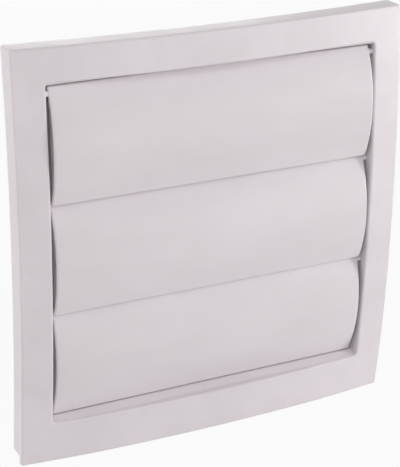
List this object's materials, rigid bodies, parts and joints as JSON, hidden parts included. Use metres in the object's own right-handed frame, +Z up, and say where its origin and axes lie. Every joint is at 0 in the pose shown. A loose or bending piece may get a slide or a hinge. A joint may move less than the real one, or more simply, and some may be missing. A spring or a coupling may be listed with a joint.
{
  "type": "louvred vent",
  "caption": "Square wall vent with a bowed bezel and drip lip, overlapping curved gravity flaps that hang on end pins, and a round duct collar on the back.",
  "frame": {"origin": "on the wall plane, at the centre of the four fixing holes and of the duct collar", "axes": "+Z up, +Y into the wall along the duct collar, the front with its flaps faces -Y, +X to the right seen from the front"},
  "size_m": [0.15, 0.0514, 0.154],
  "materials": {
    "frame_plastic": "satin moulded white",
    "flap_plastic": "satin moulded white"
  },
  "bodies": {
    "frame": {"frame": "frame_plastic"},
    "upper_flap": {"upper_flap": "flap_plastic"},
    "middle_flap": {"middle_flap": "flap_plastic"},
    "lower_flap": {"lower_flap": "flap_plastic"}
  },
  "joints": [
    {"name": "upper_flap_hinge", "type": "hinge", "parent": "frame", "child": "upper_flap", "pos_m": [0, -0.0078, 0.059], "axis": [-1, 0, 0], "range_deg": [0, 70]},
    {"name": "middle_flap_hinge", "type": "hinge", "parent": "frame", "child": "middle_flap", "pos_m": [0, -0.0078, 0.0183], "axis": [-1, 0, 0], "range_deg": [0, 70]},
    {"name": "lower_flap_hinge", "type": "hinge", "parent": "frame", "child": "lower_flap", "pos_m": [0, -0.0078, -0.0224], "axis": [-1, 0, 0], "range_deg": [0, 76]}
  ]
}
